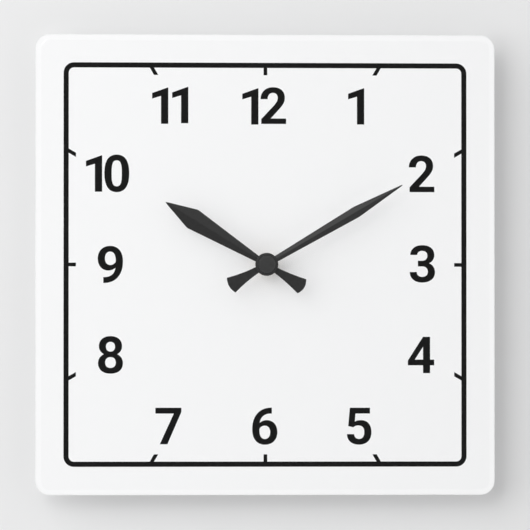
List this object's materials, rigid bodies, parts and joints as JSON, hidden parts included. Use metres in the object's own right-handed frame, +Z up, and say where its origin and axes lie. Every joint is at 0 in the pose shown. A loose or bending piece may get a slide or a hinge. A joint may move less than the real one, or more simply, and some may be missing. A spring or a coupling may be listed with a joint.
{
  "type": "wall clock",
  "caption": "Square clear-acrylic wall clock: white reverse-printed dial with bold black numerals, folded black hands and a battery quartz movement with its gear train behind.",
  "frame": {"origin": "middle of the nail hole in the hanger tab, half way through the sheet, 38 mm above the hand arbor", "axes": "+Z up, +X to the right seen from the front, the dial looks towards -Y and the wall is towards +Y"},
  "size_m": [0.273, 0.0338, 0.273],
  "materials": {
    "clear_acrylic": "polished clear acrylic",
    "white_print": "white ink coat seen through the acrylic",
    "black_print": "black ink",
    "hand_paint": "satin black paint on folded aluminium sheet",
    "cap_paint": "satin black paint",
    "bush_brass": "turned",
    "zinc_steel": "zinc plated sheet",
    "gasket_rubber": "matt",
    "case_plastic": "moulded, fine grain",
    "cover_plastic": "moulded, fine grain",
    "knob_plastic": "moulded",
    "plate_plastic": "natural acetal",
    "gear_plastic": "natural acetal",
    "magnet": "bonded magnet",
    "stator_steel": "soft magnetic sheet",
    "copper_wire": "enamelled copper wire",
    "board": "phenolic circuit board",
    "chip_resin": "resin drop",
    "crystal_case": "plated can",
    "contact_steel": "nickel plated spring steel",
    "cell_jacket": null,
    "cell_metal": "nickel plated"
  },
  "bodies": {
    "clock": {"acrylic_panel": "clear_acrylic", "dial_white_coat": "white_print", "dial_border": "black_print", "dial_ticks": "black_print", "dial_numerals": "black_print", "clamp_washer": "zinc_steel", "clamp_nut": "bush_brass", "threaded_bush": "bush_brass", "rubber_gasket": "gasket_rubber", "hanger_plate": "zinc_steel", "hanger_shelf": "zinc_steel", "hanger_tab": "zinc_steel", "movement_case": "case_plastic", "back_cover": "cover_plastic", "train_plate": "plate_plastic", "train_bridge": "plate_plastic", "stator_plate": "stator_steel", "coil_core": "stator_steel", "coil_former": "plate_plastic", "coil_winding": "copper_wire", "coil_screws": "zinc_steel", "circuit_board": "board", "chip_cover": "chip_resin", "crystal_can": "crystal_case", "battery_contact_minus": "contact_steel", "battery_contact_plus": "contact_steel"},
    "minute_hand_set": {"minute_hand": "hand_paint", "minute_hand_bush": "bush_brass", "minute_shaft": "bush_brass", "centre_cap": "cap_paint"},
    "hour_hand_set": {"hour_hand": "hand_paint", "hour_hand_bush": "bush_brass", "hour_wheel": "gear_plastic"},
    "motion_wheel": {"motion_wheel": "gear_plastic"},
    "setting_knob": {"setting_knob": "knob_plastic"},
    "second_wheel": {"second_wheel": "gear_plastic"},
    "intermediate_wheel": {"intermediate_wheel": "gear_plastic"},
    "rotor": {"rotor_pinion": "gear_plastic", "rotor_magnet": "magnet"},
    "third_wheel": {"third_wheel": "gear_plastic"},
    "centre_wheel": {"centre_wheel": "gear_plastic"},
    "battery": {"battery_cell": "cell_jacket", "battery_button": "cell_metal"}
  },
  "joints": [
    {"name": "minute_hand_turn", "type": "hinge", "parent": "clock", "child": "minute_hand_set", "pos_m": [0, -0.0096, -0.038], "axis": [0, 1, 0], "continuous": true},
    {"name": "hour_hand_turn", "type": "hinge", "parent": "clock", "child": "hour_hand_set", "pos_m": [0, -0.0096, -0.038], "axis": [0, 1, 0], "continuous": true},
    {"name": "motion_wheel_turn", "type": "hinge", "parent": "clock", "child": "motion_wheel", "pos_m": [0.00945, -0.0096, -0.03967], "axis": [0, 1, 0], "continuous": true},
    {"name": "setting_knob_turn", "type": "hinge", "parent": "clock", "child": "setting_knob", "pos_m": [0.01732, -0.0096, -0.03416], "axis": [0, 1, 0], "continuous": true},
    {"name": "second_wheel_turn", "type": "hinge", "parent": "clock", "child": "second_wheel", "pos_m": [0, -0.0096, -0.038], "axis": [0, 1, 0], "continuous": true},
    {"name": "intermediate_wheel_turn", "type": "hinge", "parent": "clock", "child": "intermediate_wheel", "pos_m": [0.0042, -0.0096, -0.03072], "axis": [0, 1, 0], "continuous": true},
    {"name": "rotor_turn", "type": "hinge", "parent": "clock", "child": "rotor", "pos_m": [0.00666, -0.0096, -0.02396], "axis": [0, 1, 0], "continuous": true},
    {"name": "third_wheel_turn", "type": "hinge", "parent": "clock", "child": "third_wheel", "pos_m": [-0.00954, -0.0096, -0.03249], "axis": [0, 1, 0], "continuous": true},
    {"name": "centre_wheel_turn", "type": "hinge", "parent": "clock", "child": "centre_wheel", "pos_m": [0, -0.0096, -0.038], "axis": [0, 1, 0], "continuous": true},
    {"name": "battery_slide", "type": "slide", "parent": "clock", "child": "battery", "axis": [0, 1, 0], "range_m": [0, 0.018]}
  ],
  "couplings": [
    {"joint": "hour_hand_turn", "follows": "minute_hand_turn", "ratio": 0.083333},
    {"joint": "motion_wheel_turn", "follows": "minute_hand_turn", "ratio": -0.33333},
    {"joint": "setting_knob_turn", "follows": "minute_hand_turn", "ratio": 1},
    {"joint": "intermediate_wheel_turn", "follows": "second_wheel_turn", "ratio": -6},
    {"joint": "rotor_turn", "follows": "second_wheel_turn", "ratio": 30},
    {"joint": "third_wheel_turn", "follows": "second_wheel_turn", "ratio": -0.13333},
    {"joint": "centre_wheel_turn", "follows": "second_wheel_turn", "ratio": 0.016667}
  ]
}
